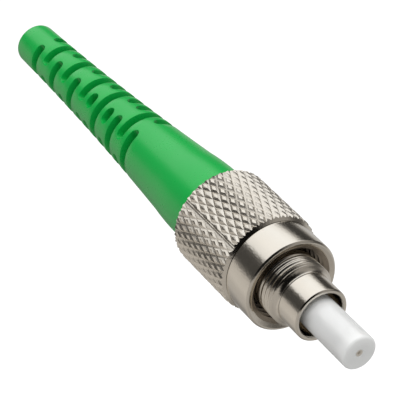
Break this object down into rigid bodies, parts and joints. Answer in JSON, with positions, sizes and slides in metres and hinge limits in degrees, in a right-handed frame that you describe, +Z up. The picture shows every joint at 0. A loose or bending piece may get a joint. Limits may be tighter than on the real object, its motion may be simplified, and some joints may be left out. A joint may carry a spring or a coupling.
{
  "type": "fc fibre optic connector plug",
  "caption": "Round metal fibre optic plug with a knurled screw coupling nut, a keyed nose, a sprung ferrule under a protective cap and a slotted flexible boot.",
  "frame": {"origin": "centre of the front face of the plug frame's nose, on the connector's axis", "axes": "+X along the connector's axis in the mating direction, +Z up, +Y to the left of +X"},
  "size_m": [0.0589, 0.01, 0.01],
  "materials": {
    "nickel_frame": "nickel plated, turned, polished",
    "nickel_key": "nickel plated, turned",
    "nickel_nut": "nickel plated, diamond knurled with a polished collar",
    "crimp_metal": "nickel plated, annealed",
    "spring_steel": "spring steel",
    "green_boot": "satin moulded elastomer",
    "zirconia": "polished zirconia",
    "guide_plastic": "clear fluoropolymer tube",
    "white_cap": "translucent white moulding, satin"
  },
  "bodies": {
    "plug_body": {"plug_frame": "nickel_frame", "key_ring": "nickel_key", "rear_body": "nickel_frame", "crimp_sleeve": "crimp_metal", "boot": "green_boot", "ferrule_spring": "spring_steel"},
    "nut_carrier": {"snap_ring": "spring_steel"},
    "nut": {"coupling_nut": "nickel_nut"},
    "ferrule_core": {"ferrule": "zirconia", "ferrule_flange": "nickel_frame", "guide_tube": "guide_plastic"},
    "cap": {"protective_cap": "white_cap"}
  },
  "joints": [
    {"name": "nut_slide", "type": "slide", "parent": "plug_body", "child": "nut_carrier", "axis": [1, 0, 0], "range_m": [0, 0.0049]},
    {"name": "nut_spin", "type": "hinge", "parent": "nut_carrier", "child": "nut", "pos_m": [-0.01068, 0, 0], "axis": [1, 0, 0], "continuous": true},
    {"name": "ferrule_float", "type": "slide", "parent": "plug_body", "child": "ferrule_core", "axis": [1, 0, 0], "range_m": [-0.0012, 0], "stiffness_N_per_m": 1500, "deforming": ["ferrule_spring"]},
    {"name": "cap_pull", "type": "slide", "parent": "ferrule_core", "child": "cap", "axis": [1, 0, 0], "range_m": [0, 0.006]}
  ]
}
